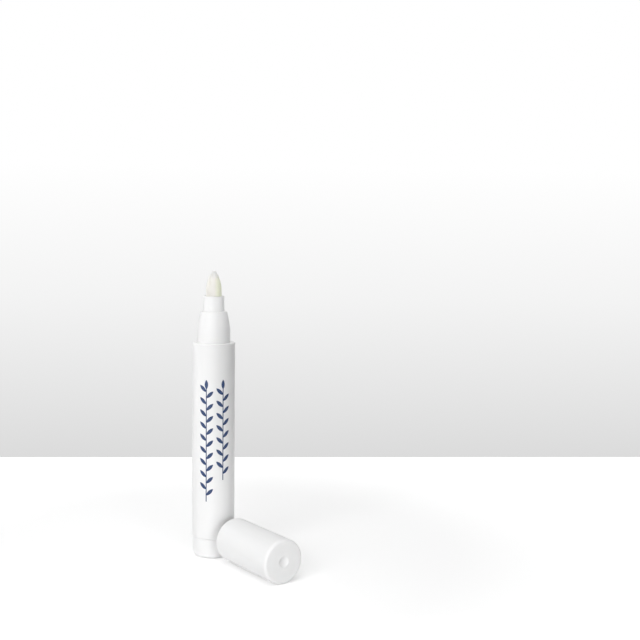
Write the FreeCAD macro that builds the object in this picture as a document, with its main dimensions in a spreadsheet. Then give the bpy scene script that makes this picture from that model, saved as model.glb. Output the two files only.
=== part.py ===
import FreeCAD, Part
import math
import os
import Sketcher
from types import SimpleNamespace

# A felt-tipped oil pen that stands on its end plug, with its cap lying in front of it.
# The origin is the centre of the plug's underside and +Z runs up the pen's axis.
# The cap lies along Y, with its mouth towards the pen.

# Driving dimensions in millimetres, with counts and shares.
DIMENSIONS = {
    # barrel
    "barrel_diameter": 14.0,
    "barrel_length": 64.3,
    "barrel_wall": 1.8,
    "barrel_edge_share": 0.2,
    "barrel_rib_count": 4,
    "barrel_rib_width": 1.0,
    "barrel_rib_end_gap": 1.0,
    # front section, from its skirt in the barrel up to the collar round the nib
    "skirt_length": 12.0,
    "skirt_cavity_share": 0.4,
    "snap_bead_height": 0.2,
    "snap_bead_width": 1.6,
    "snap_bead_depth": 5.0,
    "seat_shoulder": 0.2,
    "seat_height": 4.3,
    "cone_height": 5.8,
    "cone_top_share": 0.41,
    "cone_bulge": 0.12,
    "collar_height": 5.0,
    "collar_wall": 0.55,
    "collar_edge_share": 0.4,
    "nib_vent_gap": 0.35,
    "nib_rib_count": 6,
    "nib_rib_width": 0.6,
    "nib_rib_inset": 1.0,
    # nib
    "nib_diameter": 5.1,
    "nib_exposed": 8.2,
    "nib_bullet_length": 6.5,
    "nib_tip_diameter": 1.3,
    "nib_tip_height": 0.25,
    "nib_tail_length": 7.0,
    "nib_tail_taper": 2.5,
    "nib_tail_end_share": 0.5,
    # oil reservoir
    "reservoir_air_gap": 0.3,
    "film_thickness": 0.15,
    # end plug
    "plug_height": 6.5,
    "plug_inset": 0.3,
    "plug_round": 1.3,
    "plug_floor": 1.8,
    "spigot_length": 8.0,
    "spigot_wall": 1.3,
    "spigot_edge_share": 0.3,
    "plug_bead_height": 0.1,
    "plug_bead_width": 1.2,
    "plug_bead_spacing": 2.6,
    "plug_vent_count": 4,
    "plug_vent_width": 1.2,
    "plug_vent_depth": 1.0,
    # cap and its inner seal
    "cap_clearance": 0.05,
    "cap_mouth_share": 0.4,
    "cap_mouth_edge_share": 0.2,
    "cap_bore_step": 0.15,
    "cap_end_wall": 2.2,
    "cap_end_round": 0.9,
    "cap_dimple_diameter": 3.5,
    "cap_dimple_depth": 0.6,
    "liner_overlap": 4.6,
    "liner_clearance": 0.05,
    "liner_wall": 0.55,
    "liner_floor": 1.5,
    "nib_air_gap": 1.2,
    # where the cap lies
    "cap_stand_off": 3.3,
    "cap_side_offset": 1.9,
    # fits and cuts
    "push_clearance": 0.03,
    "snap_clearance": 0.05,
    "cut_overrun": 0.5,
}

LEFT = 1
RIGHT = -1


class Size:
    """A size that knows its value and the sheet expression that gives it."""

    def __init__(self, value, text):
        self.value = value
        self.text = text

    def __add__(self, other):
        return Size(self.value + other.value, f"({self.text} + {other.text})")

    def __sub__(self, other):
        return Size(self.value - other.value, f"({self.text} - {other.text})")

    def __mul__(self, other):
        return Size(self.value * other.value, f"({self.text} * {other.text})")

    def __truediv__(self, other):
        return Size(self.value / other.value, f"({self.text} / {other.text})")

    def __neg__(self):
        return Size(-self.value, f"(-{self.text})")

    def half(self):
        return Size(self.value / 2, f"({self.text} / 2)")


ZERO = Size(0, "0")


def make_sheet(doc):
    """Write the driving dimensions to a sheet and return them as sizes."""
    sheet = doc.addObject("Spreadsheet::Sheet", "sizes")
    for row, (name, value) in enumerate(DIMENSIONS.items(), start=1):
        sheet.set(f"A{row}", name)
        sheet.set(f"B{row}", str(value))
        sheet.setAlias(f"B{row}", name)
    doc.recompute()
    return SimpleNamespace(**{name: Size(value, f"sizes.{name}") for name, value in DIMENSIONS.items()})


def make_layout(size):
    """Radii and heights that more than one piece takes its size from."""
    lay = SimpleNamespace()
    lay.barrel_radius = size.barrel_diameter.half()
    lay.bore_radius = lay.barrel_radius - size.barrel_wall
    lay.nib_radius = size.nib_diameter.half()
    lay.nib_tail_radius = lay.nib_radius * size.nib_tail_end_share

    lay.skirt_radius = lay.bore_radius - size.push_clearance
    lay.snap_radius = lay.skirt_radius + size.snap_bead_height
    lay.seat_radius = lay.bore_radius + size.seat_shoulder
    lay.channel_radius = lay.nib_radius + size.nib_vent_gap
    lay.collar_radius = lay.channel_radius + size.collar_wall

    lay.wrap_radius = lay.bore_radius - size.reservoir_air_gap
    lay.wrap_inner_radius = lay.wrap_radius - size.film_thickness
    lay.reservoir_bottom = size.plug_height + size.spigot_length
    lay.reservoir_length = size.barrel_length - size.skirt_length - size.spigot_length
    lay.reservoir_top = lay.reservoir_bottom + lay.reservoir_length

    lay.shoulder_height = size.seat_height + size.cone_height
    lay.nose_height = lay.shoulder_height + size.collar_height
    lay.nose_length = lay.nose_height + size.nib_exposed

    lay.cap_mouth_radius = lay.seat_radius + size.cap_clearance
    lay.cap_bore_radius = lay.cap_mouth_radius - size.cap_bore_step
    lay.liner_floor_depth = lay.nose_length + size.nib_air_gap
    lay.cap_depth = lay.liner_floor_depth + size.liner_floor
    lay.cap_mouth_y = -(lay.barrel_radius + size.cap_stand_off)
    return lay


def arc_size(run, rise):
    """Radius of the arc that leaves its tangent by rise over the length run."""
    return (run * run + rise * rise).half() / rise


def bulge_size(run, rise, bulge):
    """Radius of the arc that stands out by bulge from the slope with this run and rise."""
    return ((run * run + rise * rise).half().half() + bulge * bulge).half() / bulge


def arc_between(start, end, radius, turn):
    """The arc from start to end that turns left or right, under half a circle."""
    chord = end - start
    across = FreeCAD.Vector(-chord.y, chord.x, 0).normalize() * turn
    reach = math.sqrt(radius ** 2 - (chord.Length / 2) ** 2)
    centre = start + chord / 2 + across * reach
    first, last = (start, end) if turn == LEFT else (end, start)
    first_angle = math.atan2(first.y - centre.y, first.x - centre.x)
    last_angle = math.atan2(last.y - centre.y, last.x - centre.x)
    if last_angle < first_angle:
        last_angle += 2 * math.pi
    circle = Part.Circle(centre, FreeCAD.Vector(0, 0, 1), radius)
    return Part.ArcOfCircle(circle, first_angle, last_angle)


def add_body(doc, name):
    body = doc.addObject("PartDesign::Body", name)
    body.Label = name
    return body


def add_sketch(body, name, plane):
    """An empty sketch on one of the body's own planes."""
    sketch = body.newObject("Sketcher::SketchObject", f"{body.Name}_{name}")
    support = next(item for item in body.Origin.OriginFeatures if item.Role == plane)
    sketch.AttachmentSupport = (support, [""])
    sketch.MapMode = "FlatFace"
    return sketch


def bind(sketch, size, kind, *places):
    """Add a sketch dimension that follows its size."""
    number = sketch.addConstraint(Sketcher.Constraint(kind, *places, size.value))
    sketch.setExpression(f"Constraints[{number}]", size.text)


def pin_corner(sketch, edge, end, across, up):
    """Hold one end of an edge at its distances from the sketch's origin."""
    for kind, axis, size in (("DistanceX", -2, across), ("DistanceY", -1, up)):
        if size is ZERO:
            sketch.addConstraint(Sketcher.Constraint("PointOnObject", edge, end, axis))
        elif size.value < 0:
            bind(sketch, -size, kind, edge, end, -1, 1)
        else:
            bind(sketch, size, kind, -1, 1, edge, end)


def draw_outline(sketch, corners):
    """Draw a closed outline. A corner is (across, up), with a radius and a turn where an arc leads to it."""
    points = [FreeCAD.Vector(corner[0].value, corner[1].value, 0) for corner in corners]
    ends = []
    for index, start in enumerate(points):
        following = (index + 1) % len(points)
        if corners[following][2:]:
            radius, turn = corners[following][2:]
            edge = sketch.addGeometry(arc_between(start, points[following], radius.value, turn), False)
            bind(sketch, radius, "Radius", edge)
            ends.append((edge, 1, 2) if turn == LEFT else (edge, 2, 1))
        else:
            edge = sketch.addGeometry(Part.LineSegment(start, points[following]), False)
            ends.append((edge, 1, 2))
    for index, (edge, start, end) in enumerate(ends):
        next_edge, next_start, _ = ends[(index + 1) % len(ends)]
        sketch.addConstraint(Sketcher.Constraint("Coincident", edge, end, next_edge, next_start))
        pin_corner(sketch, edge, start, *corners[index][:2])


def revolve(body, corners):
    """Turn a half profile, given as radii and heights, round the body's axis."""
    sketch = add_sketch(body, "profile", "XZ_Plane")
    draw_outline(sketch, corners)
    revolution = body.newObject("PartDesign::Revolution", f"{body.Name}_revolution")
    revolution.Profile = sketch
    revolution.ReferenceAxis = (sketch, ["V_Axis"])
    revolution.Angle = 360
    body.Document.recompute()


def repeat_bar(body, kind, inner, outer, width, height, length, count):
    """Radial bars between two radii, added up from a height or cut down from it, evenly round the axis."""
    side = width.half()
    sketch = add_sketch(body, "bar", "XY_Plane")
    sketch.setExpression("AttachmentOffset.Base.z", height.text)
    draw_outline(sketch, [(inner, -side), (outer, -side), (outer, side), (inner, side)])
    feature = body.newObject(f"PartDesign::{kind}", f"{body.Name}_{kind.lower()}")
    feature.Profile = sketch
    feature.setExpression("Length", length.text)
    pattern = body.newObject("PartDesign::PolarPattern", f"{body.Name}_pattern")
    pattern.Originals = [feature]
    pattern.Axis = (sketch, ["N_Axis"])
    pattern.Angle = 360
    pattern.setExpression("Occurrences", count.text)
    body.Tip = pattern
    body.Document.recompute()
    growth = pattern.Shape.Volume - feature.BaseFeature.Shape.Volume
    if (growth > 0) != (kind == "Pad"):
        raise RuntimeError(f"the bars of {body.Label} go the wrong way")


def bead(base_radius, top_radius, middle, width):
    """Corners of a ring that stands out of a wall, with sloping sides, from the bottom up."""
    slope = top_radius - base_radius
    bottom = middle - width.half()
    top = middle + width.half()
    return [(base_radius, bottom), (top_radius, bottom + slope), (top_radius, top - slope), (base_radius, top)]


def stand(body, height):
    """Put a piece of the pen at its height on the pen's axis."""
    body.setExpression("Placement.Base.z", height.text)


def lay_down(body, size, lay, depth):
    """Lay a piece of the cap down, its own axis along -Y, starting a depth behind the cap's mouth."""
    body.Placement = FreeCAD.Placement(FreeCAD.Vector(), FreeCAD.Rotation(FreeCAD.Vector(1, 0, 0), 90))
    body.setExpression("Placement.Base.x", size.cap_side_offset.text)
    body.setExpression("Placement.Base.y", (lay.cap_mouth_y - depth).text)
    body.setExpression("Placement.Base.z", lay.barrel_radius.text)


def make_barrel(doc, size, lay):
    """The tube that is held in the hand, with ribs inside that centre the reservoir."""
    body = add_body(doc, "barrel")
    outer = lay.barrel_radius
    bore = lay.bore_radius
    length = size.barrel_length
    edge = size.barrel_wall * size.barrel_edge_share
    groove = bead(
        bore,
        lay.snap_radius + size.snap_clearance,
        length - size.snap_bead_depth,
        size.snap_bead_width + size.snap_clearance + size.snap_clearance,
    )
    revolve(body, [
        (bore, ZERO),
        (outer - edge, ZERO),
        (outer, edge, edge, LEFT),
        (outer, length - edge),
        (outer - edge, length, edge, LEFT),
        (bore, length),
        *reversed(groove),
    ])
    repeat_bar(
        body,
        "Pad",
        lay.wrap_radius + size.push_clearance,
        bore + size.barrel_wall.half(),
        size.barrel_rib_width,
        size.spigot_length + size.barrel_rib_end_gap,
        lay.reservoir_length - size.barrel_rib_end_gap - size.barrel_rib_end_gap,
        size.barrel_rib_count,
    )
    stand(body, size.plug_height)
    return body


def make_front_section(doc, size, lay):
    """The nose: skirt in the barrel, seat for the cap, cone, and collar with ribs that grip the nib."""
    body = add_body(doc, "front_section")
    skirt = lay.skirt_radius
    channel = lay.channel_radius
    collar = lay.collar_radius
    cavity = channel + (skirt - channel) * size.skirt_cavity_share
    cone_top = collar + (lay.seat_radius - collar) * size.cone_top_share
    edge = size.collar_wall * size.collar_edge_share
    front = size.skirt_length
    seat_top = front + size.seat_height
    shoulder = front + lay.shoulder_height
    top = front + lay.nose_height
    revolve(body, [
        (cavity, ZERO),
        (skirt, ZERO),
        *bead(skirt, lay.snap_radius, front - size.snap_bead_depth, size.snap_bead_width),
        (skirt, front),
        (lay.seat_radius, front),
        (lay.seat_radius, seat_top),
        (cone_top, shoulder, bulge_size(size.cone_height, lay.seat_radius - cone_top, size.cone_bulge), LEFT),
        (collar, shoulder),
        (collar, top - edge),
        (collar - edge, top, edge, LEFT),
        (channel, top),
        (channel, seat_top),
        (cavity, seat_top - (cavity - channel)),
    ])
    repeat_bar(
        body,
        "Pad",
        lay.nib_radius + size.push_clearance,
        channel + size.collar_wall.half(),
        size.nib_rib_width,
        seat_top,
        top - size.nib_rib_inset - seat_top,
        size.nib_rib_count,
    )
    stand(body, size.plug_height + size.barrel_length - front)
    return body


def make_nib(doc, size, lay):
    """The felt nib: a bullet point, a straight shank and a tapered tail in the reservoir."""
    body = add_body(doc, "nib")
    shank = lay.nib_radius
    tip = size.nib_tip_diameter.half()
    length = size.nib_tail_length + size.skirt_length + lay.nose_length
    bullet_bottom = length - size.nib_bullet_length
    bullet_top = length - size.nib_tip_height
    revolve(body, [
        (ZERO, ZERO),
        (lay.nib_tail_radius, ZERO),
        (shank, size.nib_tail_taper),
        (shank, bullet_bottom),
        (tip, bullet_top, arc_size(bullet_top - bullet_bottom, shank - tip), LEFT),
        (ZERO, length, arc_size(tip, size.nib_tip_height), LEFT),
    ])
    stand(body, lay.reservoir_top - size.nib_tail_length)
    return body


def make_reservoir_core(doc, size, lay):
    """The fibre wadding that holds the oil, with a hole for the nib's tail."""
    body = add_body(doc, "reservoir_core")
    radius = lay.wrap_inner_radius - size.push_clearance
    hole = lay.nib_radius + size.push_clearance
    length = lay.reservoir_length
    hole_bottom = length - size.nib_tail_length
    revolve(body, [
        (ZERO, ZERO),
        (radius, ZERO),
        (radius, length),
        (hole, length),
        (hole, hole_bottom + size.nib_tail_taper),
        (lay.nib_tail_radius + size.push_clearance, hole_bottom),
        (ZERO, hole_bottom),
    ])
    stand(body, lay.reservoir_bottom)
    return body


def make_reservoir_wrap(doc, lay):
    """The film sleeve round the wadding."""
    body = add_body(doc, "reservoir_wrap")
    revolve(body, [
        (lay.wrap_inner_radius, ZERO),
        (lay.wrap_radius, ZERO),
        (lay.wrap_radius, lay.reservoir_length),
        (lay.wrap_inner_radius, lay.reservoir_length),
    ])
    stand(body, lay.reservoir_bottom)
    return body


def make_end_plug(doc, size, lay):
    """The plug in the barrel's rear end: a rounded foot and a hollow spigot with two beads and air notches."""
    body = add_body(doc, "end_plug")
    foot = lay.barrel_radius - size.plug_inset
    bead_radius = lay.bore_radius - size.push_clearance
    spigot = bead_radius - size.plug_bead_height
    cavity = spigot - size.spigot_wall
    edge = size.spigot_wall * size.spigot_edge_share
    top = size.plug_height + size.spigot_length
    middle = size.plug_height + size.spigot_length.half()
    spread = size.plug_bead_spacing.half()
    revolve(body, [
        (ZERO, ZERO),
        (foot - size.plug_round, ZERO),
        (foot, size.plug_round, size.plug_round, LEFT),
        (foot, size.plug_height),
        (spigot, size.plug_height),
        *bead(spigot, bead_radius, middle - spread, size.plug_bead_width),
        *bead(spigot, bead_radius, middle + spread, size.plug_bead_width),
        (spigot, top - edge),
        (spigot - edge, top),
        (cavity, top),
        (cavity, size.plug_floor),
        (ZERO, size.plug_floor),
    ])
    repeat_bar(
        body,
        "Pocket",
        cavity - size.cut_overrun,
        spigot + size.cut_overrun,
        size.plug_vent_width,
        top,
        size.plug_vent_depth,
        size.plug_vent_count,
    )
    return body


def make_cap(doc, size, lay):
    """The cap: a mouth that fits the seat, a narrower bore, and a closed end with a dimple."""
    body = add_body(doc, "cap")
    outer = lay.barrel_radius
    mouth = lay.cap_mouth_radius
    bore = lay.cap_bore_radius
    edge = (outer - mouth) * size.cap_mouth_edge_share
    mouth_depth = size.seat_height + size.cone_height * size.cap_mouth_share
    length = lay.cap_depth + size.cap_end_wall
    dimple = size.cap_dimple_diameter.half()
    revolve(body, [
        (mouth + edge, ZERO),
        (outer - edge, ZERO),
        (outer, edge, edge, LEFT),
        (outer, length - size.cap_end_round),
        (outer - size.cap_end_round, length, size.cap_end_round, LEFT),
        (dimple, length),
        (ZERO, length - size.cap_dimple_depth, arc_size(dimple, size.cap_dimple_depth), RIGHT),
        (ZERO, lay.cap_depth),
        (bore, lay.cap_depth),
        (bore, mouth_depth + size.cap_bore_step),
        (mouth, mouth_depth),
        (mouth, edge),
    ])
    lay_down(body, size, lay, ZERO)
    return body


def make_cap_liner(doc, size, lay):
    """The cap's inner seal: a sleeve that closes round the collar, on a disc pushed into the cap."""
    body = add_body(doc, "cap_liner")
    inner = lay.collar_radius + size.liner_clearance
    outer = inner + size.liner_wall
    flange = lay.cap_bore_radius - size.push_clearance
    lead = size.liner_wall.half()
    open_depth = lay.nose_height - size.liner_overlap
    floor = lay.liner_floor_depth - open_depth
    length = lay.cap_depth - open_depth
    revolve(body, [
        (inner + lead, ZERO),
        (outer, ZERO),
        (outer, floor),
        (flange, floor),
        (flange, length),
        (ZERO, length),
        (ZERO, floor),
        (inner, floor),
        (inner, lead),
    ])
    lay_down(body, size, lay, open_depth)
    return body


def check(doc, bodies):
    """Stop before anything is written if a feature failed or a piece isn't one sound solid."""
    for item in doc.Objects:
        if "Invalid" in item.State or "Error" in item.State:
            raise RuntimeError(f"{item.Name} failed: {item.State}")
    for body in bodies:
        shape = body.Shape
        if shape.isNull() or not shape.isValid() or len(shape.Solids) != 1:
            raise RuntimeError(f"{body.Label} isn't one valid solid")


def main():
    doc = FreeCAD.newDocument("oil_pen")
    size = make_sheet(doc)
    lay = make_layout(size)
    bodies = [
        make_barrel(doc, size, lay),
        make_front_section(doc, size, lay),
        make_nib(doc, size, lay),
        make_reservoir_core(doc, size, lay),
        make_reservoir_wrap(doc, lay),
        make_end_plug(doc, size, lay),
        make_cap(doc, size, lay),
        make_cap_liner(doc, size, lay),
    ]
    doc.recompute()
    check(doc, bodies)
    os.makedirs("parts", exist_ok=True)
    for body in bodies:
        body.Shape.exportStep(f"parts/{body.Label}.step")
        print(f"{body.Label}: {body.Shape.Volume:.1f} mm3")


main()
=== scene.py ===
"""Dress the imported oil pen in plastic, oil-soaked felt and a plain leaf print, and set up its stage."""

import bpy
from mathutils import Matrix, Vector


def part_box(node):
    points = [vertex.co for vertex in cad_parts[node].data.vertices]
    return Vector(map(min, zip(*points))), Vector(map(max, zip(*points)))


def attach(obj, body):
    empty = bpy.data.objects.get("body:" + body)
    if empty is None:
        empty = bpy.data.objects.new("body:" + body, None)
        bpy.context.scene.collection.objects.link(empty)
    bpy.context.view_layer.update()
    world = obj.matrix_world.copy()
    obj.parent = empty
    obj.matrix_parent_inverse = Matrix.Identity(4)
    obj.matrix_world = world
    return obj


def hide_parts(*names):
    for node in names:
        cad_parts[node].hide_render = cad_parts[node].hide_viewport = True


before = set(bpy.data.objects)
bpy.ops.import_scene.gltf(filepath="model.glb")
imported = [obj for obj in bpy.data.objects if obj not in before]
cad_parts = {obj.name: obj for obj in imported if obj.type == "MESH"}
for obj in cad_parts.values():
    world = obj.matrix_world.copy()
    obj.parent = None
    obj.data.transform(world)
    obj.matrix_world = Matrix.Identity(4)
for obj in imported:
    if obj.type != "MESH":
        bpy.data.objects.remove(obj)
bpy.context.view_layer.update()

import math
from typing import NamedTuple

import bmesh
import bpy
from bpy.props import FloatProperty, FloatVectorProperty, IntProperty, PointerProperty
from bpy.types import Operator, Panel, PropertyGroup
from mathutils import Matrix, Quaternion, Vector, noise

bl_info = {
    "name": "Oil Pen",
    "version": (1, 0, 0),
    "blender": (4, 5, 0),
    "location": "View3D > Sidebar > Oil Pen",
    "description": "Dresses the packed oil pen and sets up its stage",
    "category": "Object",
}

MM = 0.001
FULL_TURN = 2 * math.pi
MERGE_DISTANCE = 0.0005 * MM
SHARP_ANGLE = math.radians(32)
BODY_PLASTIC = "White body plastic"

# Waves per metre along X, Y and Z of the streaks that flowing plastic leaves.
STANDING_STREAKS = (260, 260, 18)
LYING_STREAKS = (260, 18, 260)
EVEN_STREAKS = (400, 400, 400)

# The nib's pressed fibres: how fine they are per metre, how much they are drawn out along the nib,
# and their shares of the depth.
FIBRE_FINENESS = 3200
FIBRE_STRETCH = 0.08
FIBRE_SHARE = 0.7
LUMP_FINENESS = 900
LUMP_SHARE = 0.6
SINK_SHARE = 0.3


def length(name, description, default):
    return FloatProperty(
        name=name, description=description, default=default, min=0, precision=5, unit="LENGTH"
    )


def share(name, description, default):
    return FloatProperty(
        name=name, description=description, default=default, min=0, max=1, subtype="FACTOR"
    )


def colour(name, description, default):
    return FloatVectorProperty(
        name=name, description=description, default=default, min=0, max=1, subtype="COLOR"
    )


def watts(name, description, default):
    return FloatProperty(name=name, description=description, default=default, min=0, unit="POWER")


def turned_by(name, description, degrees):
    return FloatProperty(
        name=name, description=description, default=math.radians(degrees), subtype="ANGLE"
    )


def whole(name, description, default, **limits):
    return IntProperty(name=name, description=description, default=default, **limits)


def standing(node):
    """Radius, bottom and top of a CAD node that is round about the pen's axis."""
    low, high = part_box(node)
    return (high.x - low.x) / 2, low.z, high.z


class TurningSettings(PropertyGroup):
    steps: whole("Steps", "Steps round each turned piece", 144, min=24, max=256)
    edge_steps: whole("Edge steps", "Steps in each rounded edge", 6, min=2, max=16)
    arc_steps: whole("Arc steps", "Steps in each long arc of a profile", 14, min=4, max=48)


class BarrelSizes(PropertyGroup):
    wall: length("Wall", "Thickness of the tube's wall", 1.8 * MM)
    edge: length("Edge", "Rounding of the tube's outer edges", 0.36 * MM)
    bore_edge: length("Bore edge", "Rounding of the bore's front edge", 0.12 * MM)
    groove_depth: length("Groove depth", "Distance of the snap groove from the front end", 5.0 * MM)
    groove_width: length("Groove width", "Width of the snap groove", 1.7 * MM)
    groove_rise: length("Groove rise", "How far the snap groove goes into the wall", 0.22 * MM)
    rib_count: whole("Ribs", "Ribs that centre the reservoir", 4, min=0)
    rib_width: length("Rib width", "Width of each rib", 1.0 * MM)
    rib_rise: length("Rib rise", "How far each rib stands out of the bore", 0.27 * MM)
    rib_bottom: length("Rib bottom", "Height of the ribs' lower end above the barrel's rear end", 9.0 * MM)
    rib_length: length("Rib length", "Length of each rib", 42.3 * MM)


class NoseSizes(PropertyGroup):
    skirt_radius: length("Skirt", "Radius of the skirt inside the barrel", 5.17 * MM)
    bead_rise: length("Bead rise", "How far the snap bead stands out", 0.2 * MM)
    bead_width: length("Bead width", "Width of the snap bead", 1.6 * MM)
    seat_height: length("Seat height", "Height of the straight seat for the cap", 4.3 * MM)
    cone_height: length("Cone height", "Height of the tapering shoulder", 5.8 * MM)
    cone_top: length("Cone top", "Radius of the shoulder's upper edge", 4.25 * MM)
    cone_arc: length("Cone arc", "Radius of the shoulder's outward curve", 36.5 * MM)
    cone_edge: length("Cone edge", "Rounding of the shoulder's upper edge", 0.22 * MM)
    collar_radius: length("Collar", "Radius of the collar round the nib", 3.45 * MM)
    collar_fillet: length("Collar fillet", "Rounding where the collar meets the shoulder", 0.14 * MM)
    collar_edge: length("Collar edge", "Rounding of the collar's upper edge", 0.22 * MM)
    channel_radius: length("Channel", "Radius of the channel round the nib", 2.9 * MM)
    channel_edge: length("Channel edge", "Rounding of the channel's upper edge", 0.12 * MM)
    cavity_radius: length("Cavity", "Radius of the hollow behind the channel", 3.81 * MM)
    rib_count: whole("Ribs", "Ribs that grip the nib", 6, min=0)
    rib_width: length("Rib width", "Width of each rib", 0.6 * MM)
    rib_rise: length("Rib rise", "How far each rib stands into the channel", 0.32 * MM)
    rib_inset: length("Rib inset", "Depth of the ribs' upper end below the collar's edge", 1.0 * MM)


class NibSizes(PropertyGroup):
    bullet_length: length("Bullet", "Length of the pointed part", 6.5 * MM)
    bullet_arc: length("Bullet arc", "Radius of the pointed part's outward curve", 11.23 * MM)
    tip_radius: length("Tip", "Radius where the rounded tip begins", 0.65 * MM)
    tip_height: length("Tip height", "Height of the rounded tip", 0.25 * MM)
    tip_arc: length("Tip arc", "Radius of the rounded tip", 0.97 * MM)
    tail_radius: length("Tail", "Radius of the tail's end in the reservoir", 1.275 * MM)
    tail_taper: length("Tail taper", "Length of the tail's taper", 2.5 * MM)
    shank_shown: length("Shank shown", "Length of finely divided shank below the bullet", 4.0 * MM)
    shank_cuts: whole("Shank cuts", "Cuts that divide the shank that shows", 12, min=1)
    fibre_depth: length("Fibre depth", "How far the pressed fibres stand out or in", 0.022 * MM)
    # Between these depths below the tip the side tint fades out and the felt turns greyer towards the tip.
    tip_fade_low: length("Worn low", "Depth below the tip at which the worn dry felt begins", 3.0 * MM)
    tip_fade_high: length("Worn high", "Depth below the tip above which the felt is all worn", 0.6 * MM)
    # The oiled side also carries a painted green reflection, set on the nib's side in shade.
    oil_and_reflection_turn: turned_by("Soak turn", "Turn of the side that is full of oil", 35)
    oil_and_reflection_start: length("Soak start", "Distance from the axis at which the oil starts to show", 0.2 * MM)
    oil_and_reflection_full: length("Soak full", "Distance from the axis at which the felt is full of oil", 1.7 * MM)


class ReservoirSizes(PropertyGroup):
    play: length("Play", "Gap round the wadding and round the nib's tail", 0.03 * MM)
    edge: length("Edge", "Rounding of the wadding's outer edges", 0.3 * MM)
    socket_edge: length("Socket edge", "Rounding of the edge round the nib's tail", 0.2 * MM)


class PlugSizes(PropertyGroup):
    foot_height: length("Foot height", "Height of the foot outside the barrel", 6.5 * MM)
    foot_round: length("Foot round", "Rounding of the foot's lower edge", 1.3 * MM)
    foot_edge: length("Foot edge", "Rounding of the foot's upper edge", 0.18 * MM)
    floor: length("Floor", "Thickness of the foot's floor", 1.8 * MM)
    spigot_radius: length("Spigot", "Radius of the spigot inside the barrel", 5.07 * MM)
    spigot_wall: length("Spigot wall", "Thickness of the spigot's wall", 1.3 * MM)
    bead_rise: length("Bead rise", "How far the two beads stand out", 0.1 * MM)
    bead_width: length("Bead width", "Width of each bead", 1.2 * MM)
    bead_spacing: length("Bead spacing", "Distance between the two beads", 2.6 * MM)
    notch_count: whole("Notches", "Air notches in the spigot's rim", 4, min=1)
    notch_width: length("Notch width", "Width of each air notch", 1.2 * MM)
    notch_depth: length("Notch depth", "Depth of each air notch", 1.0 * MM)
    rim_sink: length("Rim sink", "How far the rim's stretches go into the spigot's wall", 0.1 * MM)
    rim_inset: length("Rim inset", "How far the rim stands back from the wall's faces", 0.03 * MM)


class CapSizes(PropertyGroup):
    mouth_radius: length("Mouth", "Radius of the mouth that fits the seat", 5.45 * MM)
    mouth_depth: length("Mouth depth", "Depth of the wider mouth", 6.62 * MM)
    mouth_edge: length("Mouth edge", "Rounding of the mouth's edges", 0.31 * MM)
    bore_radius: length("Bore", "Radius of the bore behind the mouth", 5.3 * MM)
    end_wall: length("End wall", "Thickness of the closed end", 2.2 * MM)
    end_round: length("End round", "Rounding of the closed end", 0.9 * MM)
    dimple_radius: length("Dimple", "Radius of the dimple in the closed end", 1.75 * MM)
    dimple_depth: length("Dimple depth", "Depth of the dimple", 0.6 * MM)
    dimple_edge: length("Dimple edge", "Rounding of the dimple's edge", 0.3 * MM)
    seal_inner: length("Seal bore", "Inner radius of the seal's sleeve", 3.5 * MM)
    seal_wall: length("Seal wall", "Thickness of the seal's sleeve", 0.55 * MM)
    seal_floor: length("Seal floor", "Thickness of the seal's disc", 1.5 * MM)
    seal_edge: length("Seal edge", "Rounding of the seal's lip", 0.2 * MM)


class PrintSizes(PropertyGroup):
    first_angle: turned_by("First line", "Place of the longer line round the barrel", 219.7)
    first_bottom: length("First bottom", "Height of the longer line's lower end", 19.3 * MM)
    second_angle: turned_by("Second line", "Place of the shorter line round the barrel", 264.9)
    second_bottom: length("Second bottom", "Height of the shorter line's lower end", 26.3 * MM)
    top: length("Top", "Height of both lines' upper end", 59.3 * MM)
    stem_width: length("Stem width", "Width of the stem", 0.3 * MM)
    leaf_length: length("Leaf length", "Length of each leaf", 3.2 * MM)
    leaf_width: length("Leaf width", "Greatest width of each leaf", 1.15 * MM)
    leaf_pitch: length("Leaf pitch", "Distance between leaves along the stem", 2.0 * MM)
    leaf_lean: turned_by("Leaf lean", "Angle between a leaf and its stem", 45)
    leaf_steps: whole("Leaf steps", "Steps in each of a leaf's two arcs", 8, min=2)
    film: length("Ink film", "Thickness of the ink on the barrel", 0.02 * MM)
    sink: share("Ink sink", "Share of the ink's thickness that lies in the barrel", 0.25)
    wrap_step: length("Wrap step", "Width of the strips that follow the barrel's curve", 0.25 * MM)


class Finishes(PropertyGroup):
    body: colour("Body", "White plastic of the barrel and plug", (0.88, 0.88, 0.88))
    nose: colour("Nose", "White plastic of the nose", (0.885, 0.885, 0.885))
    cap: colour("Cap", "White plastic of the cap", (0.865, 0.866, 0.866))
    seal: colour("Seal", "Milky plastic of the cap's inner seal", (0.8, 0.8, 0.77))
    felt: colour("Felt", "Dry felt of the nib", (0.865, 0.845, 0.8))
    # Oil tint, partly a painted green reflection on the nib's side in shade.
    oil: colour("Oil", "Felt where the oil has soaked in", (0.91, 0.93, 0.745))
    wadding: colour("Wadding", "Fibre that holds the oil", (0.84, 0.79, 0.58))
    film: colour("Film", "Sleeve round the wadding", (0.8, 0.8, 0.79))
    ink: colour("Ink", "Leaf print on the barrel", (0.012, 0.035, 0.11))
    body_roughness: share("Body roughness", "Roughness of the barrel and plug", 0.34)
    nose_roughness: share("Nose roughness", "Roughness of the nose", 0.36)
    cap_roughness: share("Cap roughness", "Roughness of the cap", 0.52)
    seal_roughness: share("Seal roughness", "Roughness of the cap's inner seal", 0.42)
    film_roughness: share("Film roughness", "Roughness of the sleeve round the wadding", 0.4)


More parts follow.
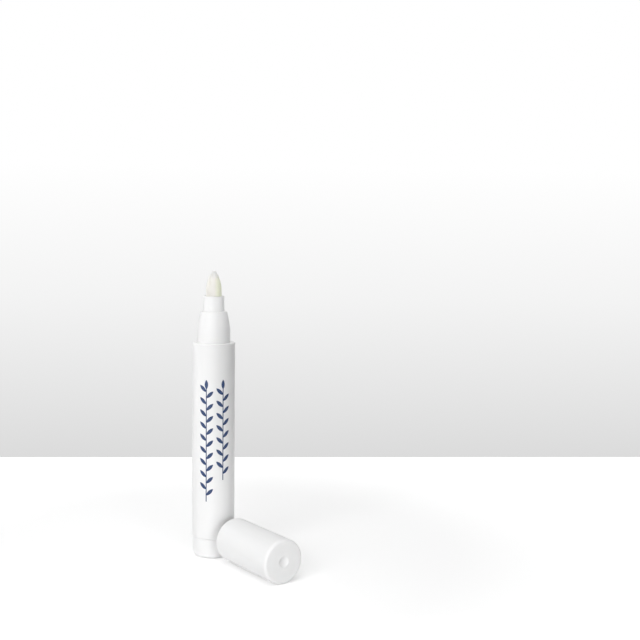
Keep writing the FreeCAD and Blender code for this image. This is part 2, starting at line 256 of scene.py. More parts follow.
class StageSettings(PropertyGroup):
    camera_place: FloatVectorProperty(
        name="Camera place", description="Where the camera stands",
        default=(-176.7 * MM, -294.0 * MM, 111.0 * MM), subtype="TRANSLATION",
    )
    camera_turn: turned_by("Camera turn", "Turn of the view from +Y towards +X", 36.81)
    camera_dip: turned_by("Camera dip", "Angle of the view below the horizon", 5.45)
    camera_roll: turned_by("Camera roll", "Turn of the camera about its own line of sight", 0.71)
    camera_clip: length("Camera clip", "Nearest distance that the camera shows", 10 * MM)
    lens: FloatProperty(
        name="Lens", description="Focal length in millimetres", default=59.06, min=10
    )
    floor_size: length("Floor size", "Width and length of the floor", 6.0)
    floor_drop: length("Floor drop", "How far the floor lies below the foot", 0.01 * MM)
    floor_colour: colour("Floor", "Colour of the floor", (0.92, 0.92, 0.92))
    floor_glow: share("Floor glow", "White that the camera sees in the floor round the pen", 0.27)
    floor_near: length("Floor near", "Distance from the pen where the floor starts to turn white", 80 * MM)
    floor_far: length("Floor far", "Distance from the pen beyond which the floor is white", 350 * MM)
    wall_distance: length("Wall distance", "Distance of the backdrop behind the pen", 141.6 * MM)
    wall_turn: turned_by("Wall turn", "Turn that keeps the backdrop's foot level in the picture", 3.2)
    wall_width: length("Wall width", "Width of the backdrop", 4.0)
    wall_height: length("Wall height", "Height of the backdrop", 2.0)
    wall_fade: length("Wall fade", "Height over which the backdrop turns white", 150 * MM)
    # The backdrop glows by itself, and its grey foot is painted shade.
    wall_low: colour("Wall foot", "Backdrop just above the floor", (0.71, 0.71, 0.71))
    wall_middle: colour("Wall middle", "Backdrop at the height of the nose", (0.9, 0.9, 0.9))
    wall_high: colour("Wall top", "Backdrop above the pen", (1, 1, 1))
    key_watts: watts("Key", "Power of the main lamp, left of the camera", 1.7)
    side_watts: watts("Side", "Power of the lamp on the left", 0.5)
    top_watts: watts("Top", "Power of the lamp overhead", 1.31)
    back_left_watts: watts("Back left", "Power of the lamp behind on the left", 0.45)
    back_right_watts: watts("Back right", "Power of the lamp behind on the right", 0.85)
    low_watts: watts("Low", "Power of the small lamp near the floor on the right", 0.002)
    nose_watts: watts("Nose", "Power of the small lamp beside the nose on the right", 0.0004)
    ambient: share("Ambient", "Strength of the light from all round", 0.15)


class OilPen(PropertyGroup):
    turning: PointerProperty(type=TurningSettings)
    barrel: PointerProperty(type=BarrelSizes)
    nose: PointerProperty(type=NoseSizes)
    nib: PointerProperty(type=NibSizes)
    reservoir: PointerProperty(type=ReservoirSizes)
    plug: PointerProperty(type=PlugSizes)
    cap: PointerProperty(type=CapSizes)
    leaf_print: PointerProperty(type=PrintSizes)
    finishes: PointerProperty(type=Finishes)
    stage: PointerProperty(type=StageSettings)


def vertices(geometry):
    return [item for item in geometry if isinstance(item, bmesh.types.BMVert)]


class Profile:
    """Half of a turned piece's outline, drawn upwards and outwards in the XZ plane."""

    def __init__(self, turning, radius, height):
        self.turning = turning
        self.bm = bmesh.new()
        self.first = self.last = self.bm.verts.new((radius, 0, height))
        self.rounded = []

    def to(self, radius, height, edge=0.0):
        """Draw a straight line to a corner, which gets a rounded edge if one is given."""
        corner = self.bm.verts.new((radius, 0, height))
        self.bm.edges.new((self.last, corner))
        if edge:
            self.rounded.append((corner, edge))
        self.last = corner
        return self

    def through(self, corners):
        for radius, height in corners:
            self.to(radius, height)
        return self

    def arc(self, radius, height, arc_radius, edge=0.0):
        """Sweep an arc to a corner. A positive arc radius bulges to the right of the way drawn."""
        start, end = self.last.co.copy(), Vector((radius, 0, height))
        chord = end - start
        left = Vector((-chord.z, 0, chord.x)).normalized() * math.copysign(1, arc_radius)
        centre = (start + end) / 2 + left * math.sqrt(arc_radius ** 2 - (chord.length / 2) ** 2)
        sweep = 2 * math.asin(chord.length / 2 / abs(arc_radius))
        swept = bmesh.ops.spin(
            self.bm, geom=[self.last], cent=centre, axis=(0, 1, 0),
            angle=-math.copysign(sweep, arc_radius), steps=self.turning.arc_steps,
        )
        self.last = vertices(swept["geom_last"])[0]
        self.last.co = end
        if edge:
            self.rounded.append((self.last, edge))
        return self

    def divide(self, low, high, cuts):
        """Divide the straight line between two heights, for finer turning."""
        lines = [
            edge for edge in self.bm.edges
            if {round(v.co.z, 6) for v in edge.verts} == {round(low, 6), round(high, 6)}
        ]
        bmesh.ops.subdivide_edges(self.bm, edges=lines, cuts=cuts)
        return self

    def close(self):
        self.bm.edges.new((self.last, self.first))
        return self

    def turned(self):
        """Round the corners, turn the outline about the Z axis and return the closed surface."""
        for corner, edge in self.rounded:
            bmesh.ops.bevel(
                self.bm, geom=[corner], offset=edge, offset_type="OFFSET", affect="VERTICES",
                segments=self.turning.edge_steps, profile=0.5, material=-1,
            )
        bmesh.ops.spin(
            self.bm, geom=self.bm.verts[:] + self.bm.edges[:], cent=(0, 0, 0), axis=(0, 0, 1),
            angle=FULL_TURN, steps=self.turning.steps, use_merge=True,
        )
        bmesh.ops.remove_doubles(self.bm, verts=self.bm.verts, dist=MERGE_DISTANCE)
        bmesh.ops.recalc_face_normals(self.bm, faces=self.bm.faces)
        return self.bm


def bead(base, top, middle, width):
    """Corners of a ring with sloping sides that stands out of a wall, from the bottom up."""
    slope = top - base
    low, high = middle - width / 2, middle + width / 2
    return [(base, low), (top, low + slope), (top, high - slope), (base, high)]


def add_bars(bm, count, inner, outer, width, bottom, top):
    """Radial bars, evenly round the axis, from one radius and height to another."""
    size = Matrix.Diagonal((outer - inner, width, top - bottom, 1))
    place = Matrix.Translation(((inner + outer) / 2, 0, (bottom + top) / 2))
    for number in range(count):
        turn = Matrix.Rotation(FULL_TURN * number / count, 4, "Z")
        bmesh.ops.create_cube(bm, size=1, matrix=turn @ place @ size)


def finish_piece(name, bm, material, body, nodes=()):
    """Make the piece's object, shade it, tie it to its body and hide the CAD nodes that it stands in for.
    """
    mesh = bpy.data.meshes.new(name)
    bm.to_mesh(mesh)
    bm.free()
    if not mesh.polygons:
        raise RuntimeError(f"{name} has no faces")
    mesh.shade_smooth()
    mesh.set_sharp_from_angle(angle=SHARP_ANGLE)
    mesh.materials.append(material)
    piece = bpy.data.objects.new(name, mesh)
    bpy.context.scene.collection.objects.link(piece)
    weighted = piece.modifiers.new("Even shading", "WEIGHTED_NORMAL")
    weighted.keep_sharp = True
    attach(piece, body)
    if nodes:
        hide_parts(*nodes)
    return piece


class Shading:
    """A node tree with short calls for its nodes."""

    def __init__(self, tree, output="ShaderNodeOutputMaterial"):
        self.tree = tree
        tree.nodes.clear()
        self.output = tree.nodes.new(output)

    def add(self, kind, **inputs):
        """Add a node. Inputs are named as in Blender, with _ for a space."""
        node = self.tree.nodes.new(kind)
        for name, value in inputs.items():
            self.feed(node.inputs[name.replace("_", " ")], value)
        return node

    def feed(self, socket, value):
        """Link another node's output to a socket, or set the socket's own value."""
        if isinstance(value, bpy.types.NodeSocket):
            self.tree.links.new(value, socket)
        else:
            socket.default_value = value

    def place(self, scale=(1, 1, 1), turn=0.0):
        """Object coordinates, stretched and turned about the Z axis for a pattern."""
        source = self.add("ShaderNodeTexCoord").outputs["Object"]
        mapping = self.add("ShaderNodeMapping", Vector=source, Scale=scale, Rotation=(0, 0, turn))
        return mapping.outputs["Vector"]

    def distance(self):
        """Distance from the origin."""
        node = self.add("ShaderNodeVectorMath")
        node.operation = "LENGTH"
        self.feed(node.inputs[0], self.place())
        return node.outputs["Value"]

    def noise(self, vector, scale, detail=2.0, roughness=0.5):
        node = self.add(
            "ShaderNodeTexNoise", Vector=vector, Scale=scale, Detail=detail, Roughness=roughness
        )
        return node.outputs["Fac"]

    def ramp(self, factor, *stops):
        """Colours along a factor. A stop is (place, colour)."""
        node = self.add("ShaderNodeValToRGB", Fac=factor)
        elements = node.color_ramp.elements
        while len(elements) < len(stops):
            elements.new(1)
        for element, (place, tint) in zip(elements, stops):
            element.position = place
            element.color = (*tint, 1)
        return node.outputs["Color"]

    def span(self, factor, low, high, start=0.3, end=0.7):
        """Bring a factor that runs from start to end between two values."""
        node = self.add(
            "ShaderNodeMapRange", Value=factor, From_Min=start, From_Max=end, To_Min=low, To_Max=high
        )
        return node.outputs["Result"]

    def math(self, operation, first, second):
        node = self.add("ShaderNodeMath")
        node.operation = operation
        self.feed(node.inputs[0], first)
        self.feed(node.inputs[1], second)
        return node.outputs["Value"]

    def multiplied(self, first, second):
        """Two colours multiplied."""
        node = self.add("ShaderNodeMix")
        node.data_type = "RGBA"
        node.blend_type = "MULTIPLY"
        factor, first_socket, second_socket = node.inputs[0], node.inputs[6], node.inputs[7]
        factor.default_value = 1
        self.feed(first_socket, first)
        self.feed(second_socket, second)
        return node.outputs[2]

    def either(self, factor, first, second):
        """The first shader where the factor is 0 and the second where it is 1."""
        node = self.add("ShaderNodeMixShader", Fac=factor)
        self.feed(node.inputs[1], first.outputs[0])
        self.feed(node.inputs[2], second.outputs[0])
        return node

    def together(self, first, second):
        """The light of two shaders added up."""
        node = self.add("ShaderNodeAddShader")
        self.feed(node.inputs[0], first.outputs[0])
        self.feed(node.inputs[1], second.outputs[0])
        return node

    def seen(self):
        """1 for what the camera sees itself, in a mirror or through glass, and 0 for other light."""
        rays = self.add("ShaderNodeLightPath").outputs
        mirrored = self.math("MAXIMUM", rays["Is Glossy Ray"], rays["Is Transmission Ray"])
        return self.math("MAXIMUM", rays["Is Camera Ray"], mirrored)

    def show(self, shader):
        self.feed(self.output.inputs["Surface"], shader.outputs[0])


def new_material(name):
    """An empty material and its shading."""
    material = bpy.data.materials.new(name)
    material.use_nodes = True
    return material, Shading(material.node_tree)


def tinted(tint, amount):
    return tuple(min(1.0, part * amount) for part in tint)


def moulded_plastic(name, tint, roughness, glow=0.12, streaks=STANDING_STREAKS):
    """White moulded plastic: faint flow streaks, cloudy gloss, a very fine skin and a glow from within."""
    material, shading = new_material(name)
    flow = shading.noise(shading.place(streaks), scale=1, detail=3)
    cloud = shading.noise(shading.place(), scale=90, detail=3)
    skin = shading.noise(shading.place(), scale=2600)
    bump = shading.add("ShaderNodeBump", Strength=0.05, Distance=0.03 * MM, Height=skin)
    shading.show(shading.add(
        "ShaderNodeBsdfPrincipled",
        Base_Color=shading.ramp(flow, (0.3, tinted(tint, 0.985)), (0.7, tinted(tint, 1.01))),
        Roughness=shading.span(cloud, roughness - 0.04, roughness + 0.05),
        IOR=1.49,
        Normal=bump.outputs["Normal"],
        Subsurface_Weight=glow,
        Subsurface_Radius=(1, 0.95, 0.9),
        Subsurface_Scale=0.7 * MM,
    ))
    return material


def soaked_felt(name, finishes, size, tip):
    """Pressed felt with fibres along the nib, tinted as full of oil on one side, where the tint is partly
    a painted green reflection on the side in shade; the tip is dry and greyer.
    """
    material, shading = new_material(name)
    fibres = shading.noise(shading.place((1, 1, 0.12)), scale=3400, detail=4, roughness=0.6)
    clumps = shading.noise(shading.place((1, 1, 0.35)), scale=900, detail=3)
    # The oil tint on one side is partly a painted green reflection, placed on the nib's side in shade.
    side = shading.add("ShaderNodeSeparateXYZ", Vector=shading.place(turn=size.oil_and_reflection_turn)).outputs
    below_tip = shading.span(side["Z"], 1, 0, tip - size.tip_fade_low, tip - size.tip_fade_high)
    oily_and_reflecting_side = shading.span(side["X"], 0, 1, size.oil_and_reflection_start, size.oil_and_reflection_full)
    oil_and_painted_reflection = shading.math("MULTIPLY", oily_and_reflecting_side, below_tip)
    felt = shading.ramp(oil_and_painted_reflection, (0.1, finishes.felt), (0.9, finishes.oil))
    # Greyer towards the tip.
    tip_greying = shading.ramp(below_tip, (0, (0.92, 0.94, 0.97)), (1, (1, 1, 1)))
    depth = shading.ramp(clumps, (0.3, (0.93, 0.93, 0.92)), (0.7, (1, 1, 1)))
    bump = shading.add("ShaderNodeBump", Strength=0.35, Distance=0.06 * MM, Height=fibres)
    shading.show(shading.add(
        "ShaderNodeBsdfPrincipled",
        Base_Color=shading.multiplied(felt, shading.multiplied(tip_greying, depth)),
        Roughness=shading.span(fibres, 0.5, 0.72),
        Normal=bump.outputs["Normal"],
        Subsurface_Weight=0.45,
        Subsurface_Radius=(1, 0.97, 0.85),
        Subsurface_Scale=0.8 * MM,
        Sheen_Weight=0.1,
    ))
    return material


def bonded_fibre(name, tint):
    """Wadding of long fibres that run along the reservoir."""
    material, shading = new_material(name)
    fibres = shading.noise(shading.place((1, 1, 0.05)), scale=2200, detail=4, roughness=0.65)
    bump = shading.add("ShaderNodeBump", Strength=0.6, Distance=0.12 * MM, Height=fibres)
    shading.show(shading.add(
        "ShaderNodeBsdfPrincipled",
        Base_Color=shading.ramp(fibres, (0.3, tinted(tint, 0.75)), (0.7, tint)),
        Roughness=0.8,
        Normal=bump.outputs["Normal"],
        Subsurface_Weight=0.3,
        Subsurface_Scale=0.8 * MM,
    ))
    return material


def printed_ink(name, tint):
    """Screen-printed ink, a little uneven in depth and gloss."""
    material, shading = new_material(name)
    cover = shading.noise(shading.place(), scale=1500, detail=3)
    shading.show(shading.add(
        "ShaderNodeBsdfPrincipled",
        Base_Color=shading.ramp(cover, (0.3, tint), (0.75, tinted(tint, 1.5))),
        Roughness=shading.span(cover, 0.34, 0.5),
    ))
    return material


class OILPEN_OT_barrel(Operator):
    """Turn the barrel, with its rounded ends, snap groove and inner ribs"""

    bl_idname = "oilpen.barrel"
    bl_label = "Barrel"

    def execute(self, context):
        pen = context.scene.oil_pen
        size = pen.barrel
        outer, bottom, top = standing("barrel")
        bore = outer - size.wall
        groove = bead(bore, bore + size.groove_rise, top - size.groove_depth, size.groove_width)
        line = Profile(pen.turning, bore, bottom)
        line.to(outer, bottom, size.edge).to(outer, top, size.edge).to(bore, top, size.bore_edge)
        bm = line.through(reversed(groove)).close().turned()
        low = bottom + size.rib_bottom
        add_bars(
            bm, size.rib_count, bore - size.rib_rise, bore + size.wall / 2, size.rib_width,
            low, low + size.rib_length,
        )
        material = moulded_plastic(BODY_PLASTIC, pen.finishes.body, pen.finishes.body_roughness)
        finish_piece("barrel_tube", bm, material, "pen", ["barrel"])
        return {"FINISHED"}


class OILPEN_OT_plug(Operator):
    """Turn the end plug, with its rounded foot, beaded spigot and notched rim"""

    bl_idname = "oilpen.plug"
    bl_label = "End plug"

    def execute(self, context):
        pen = context.scene.oil_pen
        size = pen.plug
        foot, bottom, top = standing("end_plug")
        spigot = size.spigot_radius
        cavity = spigot - size.spigot_wall
        shoulder = bottom + size.foot_height
        rim = top - size.notch_depth
        middle = (shoulder + top) / 2
        line = Profile(pen.turning, 0, bottom)
        line.to(foot, bottom, size.foot_round).to(foot, shoulder, size.foot_edge).to(spigot, shoulder)
        for side in (-1, 1):
            place = middle + side * size.bead_spacing / 2
            line.through(bead(spigot, spigot + size.bead_rise, place, size.bead_width))
        line.to(spigot, rim).to(cavity, rim).to(cavity, bottom + size.floor).to(0, bottom + size.floor)
        bm = line.turned()
        self.add_rim(
            bm, pen, cavity + size.rim_inset, spigot - size.rim_inset, rim - size.rim_sink, top
        )
        material = bpy.data.materials[BODY_PLASTIC]
        finish_piece("rear_plug", bm, material, "pen", ["end_plug"])
        return {"FINISHED"}

    def add_rim(self, bm, pen, inner, outer, bottom, top):
        """Sweep the rim's stretches between the air notches."""
        size = pen.plug
        gap = size.notch_width / ((inner + outer) / 2)
        stretch = FULL_TURN / size.notch_count - gap
        for number in range(size.notch_count):
            start = Matrix.Rotation(FULL_TURN * number / size.notch_count + gap / 2, 4, "Z")
            corners = [
                bm.verts.new(start @ Vector((radius, 0, height)))
                for radius, height in ((inner, bottom), (outer, bottom), (outer, top), (inner, top))
            ]
            section = bm.faces.new(corners)
            bmesh.ops.spin(
                bm, geom=[section], cent=(0, 0, 0), axis=(0, 0, 1), angle=stretch,
                steps=pen.turning.steps // size.notch_count,
            )
        bmesh.ops.recalc_face_normals(bm, faces=bm.faces)


class OILPEN_OT_nose(Operator):
    """Turn the nose, with its skirt, cap seat, shoulder, collar and nib ribs"""

    bl_idname = "oilpen.nose"
    bl_label = "Nose"

    def execute(self, context):
        pen = context.scene.oil_pen
        size = pen.nose
        seat, bottom, top = standing("front_section")
        front = standing("barrel")[2]
        snap = front - pen.barrel.groove_depth
        seat_top = front + size.seat_height
        shoulder = seat_top + size.cone_height
        skirt, channel, cavity = size.skirt_radius, size.channel_radius, size.cavity_radius
        line = Profile(pen.turning, cavity, bottom)
        line.to(skirt, bottom).through(bead(skirt, skirt + size.bead_rise, snap, size.bead_width))
        line.to(skirt, front).to(seat, front).to(seat, seat_top)
        line.arc(size.cone_top, shoulder, size.cone_arc, size.cone_edge)
        line.to(size.collar_radius, shoulder, size.collar_fillet)
        line.to(size.collar_radius, top, size.collar_edge).to(channel, top, size.channel_edge)
        line.to(channel, seat_top).to(cavity, seat_top - (cavity - channel))
        bm = line.close().turned()
        add_bars(
            bm, size.rib_count, channel - size.rib_rise, (channel + size.collar_radius) / 2,
            size.rib_width, seat_top, top - size.rib_inset,
        )
        material = moulded_plastic(
            "White nose plastic", pen.finishes.nose, pen.finishes.nose_roughness
        )
        finish_piece("nose", bm, material, "pen", ["front_section"])
        return {"FINISHED"}


class OILPEN_OT_nib(Operator):
    """Turn the felt nib and press its fibres into the surface"""

    bl_idname = "oilpen.nib"
    bl_label = "Nib"

    def execute(self, context):
        pen = context.scene.oil_pen
        size = pen.nib
        shank, bottom, top = standing("nib")
        bullet = top - size.bullet_length
        shown = bullet - size.shank_shown
        line = Profile(pen.turning, 0, bottom)
        line.to(size.tail_radius, bottom).to(shank, bottom + size.tail_taper)
        line.to(shank, shown).to(shank, bullet)
        line.arc(size.tip_radius, top - size.tip_height, size.bullet_arc)
        line.arc(0, top, size.tip_arc)
        bm = line.divide(shown, bullet, size.shank_cuts).turned()
        for vert in bm.verts:
            if vert.co.z > shown:
                self.press(vert, size.fibre_depth, shank)
        material = soaked_felt("Oil-soaked felt", pen.finishes, size, top)
        finish_piece("felt_nib", bm, material, "pen", ["nib"])
        return {"FINISHED"}

    def press(self, vert, depth, shank):
        """Move a point of the surface in or out along the fibres' run, less towards the tip."""
        out = Vector((vert.co.x, vert.co.y, 0))
        drawn = Vector((vert.co.x, vert.co.y, FIBRE_STRETCH * vert.co.z))
        fibre = noise.noise(drawn * FIBRE_FINENESS)
        lump = noise.noise(vert.co * LUMP_FINENESS)
        vert.co += out / shank * depth * (FIBRE_SHARE * fibre + LUMP_SHARE * lump - SINK_SHARE)


class OILPEN_OT_reservoir(Operator):
    """Turn the wadding that holds the oil and the film sleeve round it"""

    bl_idname = "oilpen.reservoir"
    bl_label = "Reservoir"

    def execute(self, context):
        pen = context.scene.oil_pen
        size, finishes = pen.reservoir, pen.finishes
        play = size.play
        radius, bottom, top = standing("reservoir_core")
        nib_radius, nib_bottom, _ = standing("nib")
        fit = standing("reservoir_wrap")[0]
        line = Profile(pen.turning, 0, bottom)
        line.to(radius, bottom, size.edge).to(radius, top, size.edge)
        line.to(nib_radius + play, top, size.socket_edge)
        line.to(nib_radius + play, nib_bottom + pen.nib.tail_taper)
        line.to(pen.nib.tail_radius + play, nib_bottom - play).to(0, nib_bottom - play)
        wadding = bonded_fibre("Fibre wadding", finishes.wadding)
        finish_piece("oil_wadding", line.turned(), wadding, "pen", ["reservoir_core"])
        sleeve = Profile(pen.turning, radius + play, bottom)
        sleeve.to(fit, bottom).to(fit, top).to(radius + play, top).close()
        film = moulded_plastic(
            "Reservoir film", finishes.film, finishes.film_roughness, glow=0.05, streaks=EVEN_STREAKS
        )
        finish_piece("film_sleeve", sleeve.turned(), film, "pen", ["reservoir_wrap"])
        return {"FINISHED"}


class OILPEN_OT_cap(Operator):
    """Turn the cap with its dimpled end and the seal inside it, and lay both down"""

    bl_idname = "oilpen.cap"
    bl_label = "Cap"

    def execute(self, context):
        pen = context.scene.oil_pen
        size = pen.cap
        low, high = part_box("cap")
        outer = (high.x - low.x) / 2
        end = high.y - low.y
        depth = end - size.end_wall
        lying = Matrix.Translation(((low.x + high.x) / 2, high.y, (low.z + high.z) / 2))
        lying @= Matrix.Rotation(math.pi / 2, 4, "X")
        dimple_arc = (size.dimple_radius ** 2 + size.dimple_depth ** 2) / 2 / size.dimple_depth
        step = size.mouth_radius - size.bore_radius
        line = Profile(pen.turning, 0, depth)
        line.to(size.bore_radius, depth).to(size.bore_radius, size.mouth_depth + step)
        line.to(size.mouth_radius, size.mouth_depth).to(size.mouth_radius, 0, size.mouth_edge)
        line.to(outer, 0, size.mouth_edge).to(outer, end, size.end_round)
        line.to(size.dimple_radius, end, size.dimple_edge).arc(0, end - size.dimple_depth, -dimple_arc)
        bm = line.turned()
        bmesh.ops.transform(bm, matrix=lying, verts=bm.verts)
        material = moulded_plastic(
            "White cap plastic", pen.finishes.cap, pen.finishes.cap_roughness,
            glow=0.15, streaks=LYING_STREAKS,
        )
        finish_piece("cap_shell", bm, material, "cap", ["cap"])
        self.add_seal(pen, lying, high.y)
        return {"FINISHED"}

    def add_seal(self, pen, lying, mouth):
        """Turn the seal, a disc with a sleeve, and lay it down in the cap."""
        size = pen.cap
        low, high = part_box("cap_liner")
        flange = (high.x - low.x) / 2
        lip, end = mouth - high.y, mouth - low.y
        floor = end - size.seal_floor
        inner = size.seal_inner
        sleeve = inner + size.seal_wall
        line = Profile(pen.turning, 0, floor)
        line.to(inner, floor).to(inner, lip, size.seal_edge).to(sleeve, lip, size.seal_edge)
        line.to(sleeve, floor).to(flange, floor).to(flange, end).to(0, end)
        bm = line.turned()
        bmesh.ops.transform(bm, matrix=lying, verts=bm.verts)
        material = moulded_plastic(
            "Milky seal plastic", pen.finishes.seal, pen.finishes.seal_roughness,
            glow=0.3, streaks=LYING_STREAKS,
        )
        finish_piece("cap_seal", bm, material, "cap", ["cap_liner"])


class OILPEN_OT_leaf_print(Operator):
    """Print two plain lines of leaves up the barrel"""

    bl_idname = "oilpen.leaf_print"
    bl_label = "Leaf print"

    def execute(self, context):
        pen = context.scene.oil_pen
        size = pen.leaf_print
        radius = standing("barrel")[0]
        lines = ((size.first_angle, size.first_bottom), (size.second_angle, size.second_bottom))
        ink = bmesh.new()
        for place, bottom in lines:
            sprig = self.flat_sprig(size, bottom, size.top)
            self.wrap(sprig, size, radius, place)
            piece = bpy.data.meshes.new("sprig")
            sprig.to_mesh(piece)
            sprig.free()
            ink.from_mesh(piece)
            bpy.data.meshes.remove(piece)
        material = printed_ink("Navy print ink", pen.finishes.ink)
        finish_piece("leaf_print", ink, material, "pen")
        return {"FINISHED"}

    def flat_sprig(self, size, bottom, top):
        """A stem with leaves on alternate sides, flat in the XY plane, growing along +Y."""
        bm = bmesh.new()
        leaf = self.add_leaf(bm, size)
        rows = int((top - bottom - size.leaf_length) / size.leaf_pitch)
        for number in range(rows):
            copy = bmesh.ops.duplicate(bm, geom=leaf)["geom"]
            lean = Matrix.Rotation(size.leaf_lean * (1 if number % 2 else -1), 4, "Z")
            place = Matrix.Translation((0, bottom + size.leaf_pitch * (number + 1), 0))
            bmesh.ops.transform(bm, matrix=place @ lean, verts=vertices(copy))
        bmesh.ops.translate(bm, vec=(0, top - size.leaf_length, 0), verts=vertices(leaf))
        stem = top - bottom - size.leaf_length / 2
        place = Matrix.Translation((0, bottom + stem / 2, 0))
        strip = Matrix.Diagonal((size.stem_width, stem, 1, 1))
        bmesh.ops.create_grid(bm, x_segments=1, y_segments=1, size=0.5, matrix=place @ strip)
        return bm

    def add_leaf(self, bm, size):
        """A pointed leaf between two arcs, from the origin along +Y."""
        width, reach = size.leaf_width, size.leaf_length
        arc_radius = (reach ** 2 + width ** 2) / 4 / width
        sweep = 2 * math.asin(reach / 2 / arc_radius)
        others = set(bm.verts)
        foot = bm.verts.new((0, 0, 0))
        for side in (1, -1):
            bmesh.ops.spin(
                bm, geom=[foot], cent=(side * (width / 2 - arc_radius), reach / 2, 0),
                axis=(0, 0, 1), angle=side * sweep, steps=size.leaf_steps,
            )
        tips = [vert for vert in bm.verts if vert not in others and len(vert.link_edges) == 1]
        bmesh.ops.pointmerge(bm, verts=tips, merge_co=(0, reach, 0))
        outline = [vert for vert in bm.verts if vert not in others]
        edges = list(dict.fromkeys(edge for vert in outline for edge in vert.link_edges))
        blade = bmesh.ops.contextual_create(bm, geom=edges)
        return [*blade["faces"], *edges, *outline]

    def wrap(self, bm, size, radius, place):
        """Cut the flat print in strips, give it thickness and bend it round the barrel."""
        strips = int(max(abs(vert.co.x) for vert in bm.verts) / size.wrap_step)
        for number in range(-strips, strips + 1):
            bmesh.ops.bisect_plane(
                bm, geom=bm.verts[:] + bm.edges[:] + bm.faces[:],
                plane_co=(number * size.wrap_step, 0, 0), plane_no=(1, 0, 0),
            )
        bmesh.ops.remove_doubles(bm, verts=bm.verts, dist=MERGE_DISTANCE)
        lifted = bmesh.ops.extrude_face_region(bm, geom=bm.faces[:])
        bmesh.ops.translate(bm, vec=(0, 0, size.film), verts=vertices(lifted["geom"]))
        bmesh.ops.recalc_face_normals(bm, faces=bm.faces)
        for vert in bm.verts:
            turn = place + vert.co.x / radius
            out = radius + vert.co.z - size.film * size.sink
            vert.co = (out * math.cos(turn), out * math.sin(turn), vert.co.y)


class Lamp(NamedTuple):
    """A square soft lamp that points at the pen's axis, in degrees and metres.

    From the pen it is turned to the right of the camera and raised. It points at the height aim.
    Its power is the name of a setting of the stage.
    """

    name: str
    power: str
    turn: float
    rise: float
    distance: float
    aim: float
    size: float
    spread: float = 180


LAMPS = (
    Lamp("Key lamp", "key_watts", turn=-23, rise=19, distance=0.55, aim=0.05, size=0.4),
    Lamp("Side lamp", "side_watts", turn=-90, rise=12, distance=0.6, aim=0.05, size=0.4),
    Lamp("Top lamp", "top_watts", turn=0, rise=75, distance=0.6, aim=0.02, size=0.5),
    Lamp("Back left lamp", "back_left_watts", turn=-150, rise=45, distance=0.6, aim=0.03, size=0.5),
    Lamp("Back right lamp", "back_right_watts", turn=155, rise=30, distance=0.6, aim=0.03, size=0.5),
    Lamp("Low lamp", "low_watts", turn=32, rise=8, distance=0.22, aim=0.006, size=0.05, spread=22),
    Lamp("Nose lamp", "nose_watts", turn=68, rise=5, distance=0.25, aim=0.092, size=0.02, spread=10),
)


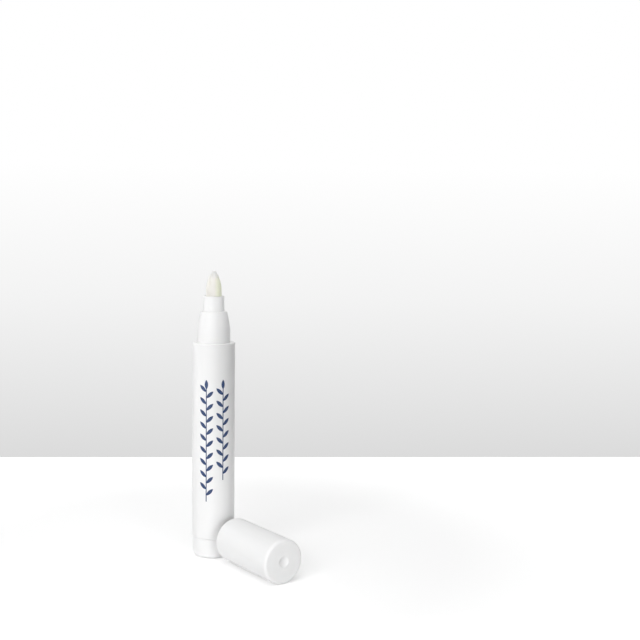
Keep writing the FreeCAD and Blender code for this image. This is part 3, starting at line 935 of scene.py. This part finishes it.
class OILPEN_OT_stage(Operator):
    """Set the floor, the backdrop, the lamps and the camera"""

    bl_idname = "oilpen.stage"
    bl_label = "Stage"

    def execute(self, context):
        scene = context.scene
        stage = scene.oil_pen.stage
        ahead = Vector((math.sin(stage.camera_turn), math.cos(stage.camera_turn), 0))
        across = Vector((ahead.y, -ahead.x, 0))
        self.add_camera(scene, stage, ahead)
        self.add_floor(stage)
        self.add_wall(stage, ahead)
        for lamp in LAMPS:
            self.add_lamp(stage, lamp, ahead, across)
        self.light_world(scene, stage)
        scene.view_settings.view_transform = "Standard"
        return {"FINISHED"}

    def add_camera(self, scene, stage, ahead):
        """Stand the camera where the picture was taken from."""
        camera = bpy.data.objects.new("Camera", bpy.data.cameras.new("Camera"))
        camera.data.lens = stage.lens
        camera.data.clip_start = stage.camera_clip
        camera.location = stage.camera_place
        view = ahead * math.cos(stage.camera_dip) - Vector((0, 0, math.sin(stage.camera_dip)))
        roll = Quaternion((0, 0, 1), stage.camera_roll)
        camera.rotation_euler = (view.to_track_quat("-Z", "Y") @ roll).to_euler()
        scene.collection.objects.link(camera)
        scene.camera = camera

    def add_plane(self, name, width, height, matrix, material):
        """A flat piece of the stage, which isn't part of the pen."""
        bm = bmesh.new()
        sheet = Matrix.Diagonal((width, height, 1, 1))
        bmesh.ops.create_grid(bm, x_segments=1, y_segments=1, size=0.5, matrix=matrix @ sheet)
        mesh = bpy.data.meshes.new(name)
        bm.to_mesh(mesh)
        bm.free()
        mesh.materials.append(material)
        plane = bpy.data.objects.new(name, mesh)
        bpy.context.scene.collection.objects.link(plane)
        return plane

    def add_floor(self, stage):
        """A pale floor that the camera sees as white, with the object's shadow kept."""
        material, shading = new_material("Pale floor")
        grain = shading.noise(shading.place(), scale=40, detail=3)
        tint = stage.floor_colour
        paper = shading.ramp(grain, (0.3, tinted(tint, 0.99)), (0.7, tint))
        lit = shading.add("ShaderNodeBsdfDiffuse", Color=paper)
        glow = shading.span(
            shading.distance(), stage.floor_glow, 1, stage.floor_near, stage.floor_far
        )
        white = shading.add("ShaderNodeEmission", Strength=glow)
        shading.show(shading.either(shading.seen(), lit, shading.together(lit, white)))
        place = Matrix.Translation((0, 0, -stage.floor_drop))
        self.add_plane("Floor", stage.floor_size, stage.floor_size, place, material)

    def add_wall(self, stage, ahead):
        """A glowing backdrop that fades upwards from grey to white, clear from behind; its grey foot is
        painted shade.
        """
        material, shading = new_material("Soft backdrop")
        height = shading.add("ShaderNodeSeparateXYZ", Vector=shading.place()).outputs["Z"]
        # Painted shade: grey at the backdrop's foot, fading to white upwards.
        fade = shading.ramp(
            shading.span(height, 0, 1, 0, stage.wall_fade),
            (0, stage.wall_low), (0.5, stage.wall_middle), (0.9, stage.wall_high),
        )
        front = shading.add("ShaderNodeEmission", Color=fade)
        behind = shading.add("ShaderNodeNewGeometry").outputs["Backfacing"]
        shading.show(shading.either(behind, front, shading.add("ShaderNodeBsdfTransparent")))
        place = Matrix.Translation(ahead * stage.wall_distance + Vector((0, 0, stage.wall_height / 2)))
        facing = Matrix.Rotation(stage.wall_turn, 3, "Z") @ -ahead
        upright = facing.to_track_quat("Z", "Y").to_matrix().to_4x4()
        wall = self.add_plane("Backdrop", stage.wall_width, stage.wall_height, place @ upright, material)
        wall.visible_diffuse = False
        wall.visible_shadow = False

    def add_lamp(self, stage, lamp, ahead, across):
        """Hang a lamp that the camera doesn't see."""
        turn, rise = math.radians(lamp.turn), math.radians(lamp.rise)
        level = -ahead * math.cos(turn) + across * math.sin(turn)
        target = Vector((0, 0, lamp.aim))
        place = target + (level * math.cos(rise) + Vector((0, 0, math.sin(rise)))) * lamp.distance
        light = bpy.data.lights.new(lamp.name, "AREA")
        light.energy = getattr(stage, lamp.power)
        light.size = lamp.size
        light.spread = math.radians(lamp.spread)
        source = bpy.data.objects.new(lamp.name, light)
        source.location = place
        source.rotation_euler = (target - place).to_track_quat("-Z", "Y").to_euler()
        source.visible_camera = False
        bpy.context.scene.collection.objects.link(source)

    def light_world(self, scene, stage):
        """Even light from all round, which the camera sees as white."""
        scene.world = bpy.data.worlds.new("Soft light")
        scene.world.use_nodes = True
        shading = Shading(scene.world.node_tree, "ShaderNodeOutputWorld")
        light = shading.add("ShaderNodeBackground", Strength=stage.ambient)
        white = shading.add("ShaderNodeBackground", Color=(1, 1, 1, 1), Strength=1)
        shading.show(shading.either(shading.seen(), light, white))


class OILPEN_PT_panel(Panel):
    """The oil pen's pieces and stage"""

    bl_idname = "OILPEN_PT_panel"
    bl_label = "Oil Pen"
    bl_space_type = "VIEW_3D"
    bl_region_type = "UI"
    bl_category = "Oil Pen"

    def draw(self, context):
        for operator in OPERATORS:
            self.layout.operator(operator.bl_idname)


GROUPS = (
    TurningSettings, BarrelSizes, NoseSizes, NibSizes, ReservoirSizes, PlugSizes, CapSizes,
    PrintSizes, Finishes, StageSettings, OilPen,
)
OPERATORS = (
    OILPEN_OT_barrel, OILPEN_OT_plug, OILPEN_OT_nose, OILPEN_OT_nib, OILPEN_OT_reservoir,
    OILPEN_OT_cap, OILPEN_OT_leaf_print, OILPEN_OT_stage,
)


def register():
    for cls in (*GROUPS, *OPERATORS, OILPEN_PT_panel):
        bpy.utils.register_class(cls)
    bpy.types.Scene.oil_pen = PointerProperty(type=OilPen)


def unregister():
    del bpy.types.Scene.oil_pen
    for cls in reversed((*GROUPS, *OPERATORS, OILPEN_PT_panel)):
        bpy.utils.unregister_class(cls)


def main():
    register()
    bpy.ops.oilpen.barrel()
    bpy.ops.oilpen.plug()
    bpy.ops.oilpen.nose()
    bpy.ops.oilpen.nib()
    bpy.ops.oilpen.reservoir()
    bpy.ops.oilpen.cap()
    bpy.ops.oilpen.leaf_print()
    bpy.ops.oilpen.stage()


if __name__ == "__main__":
    main()
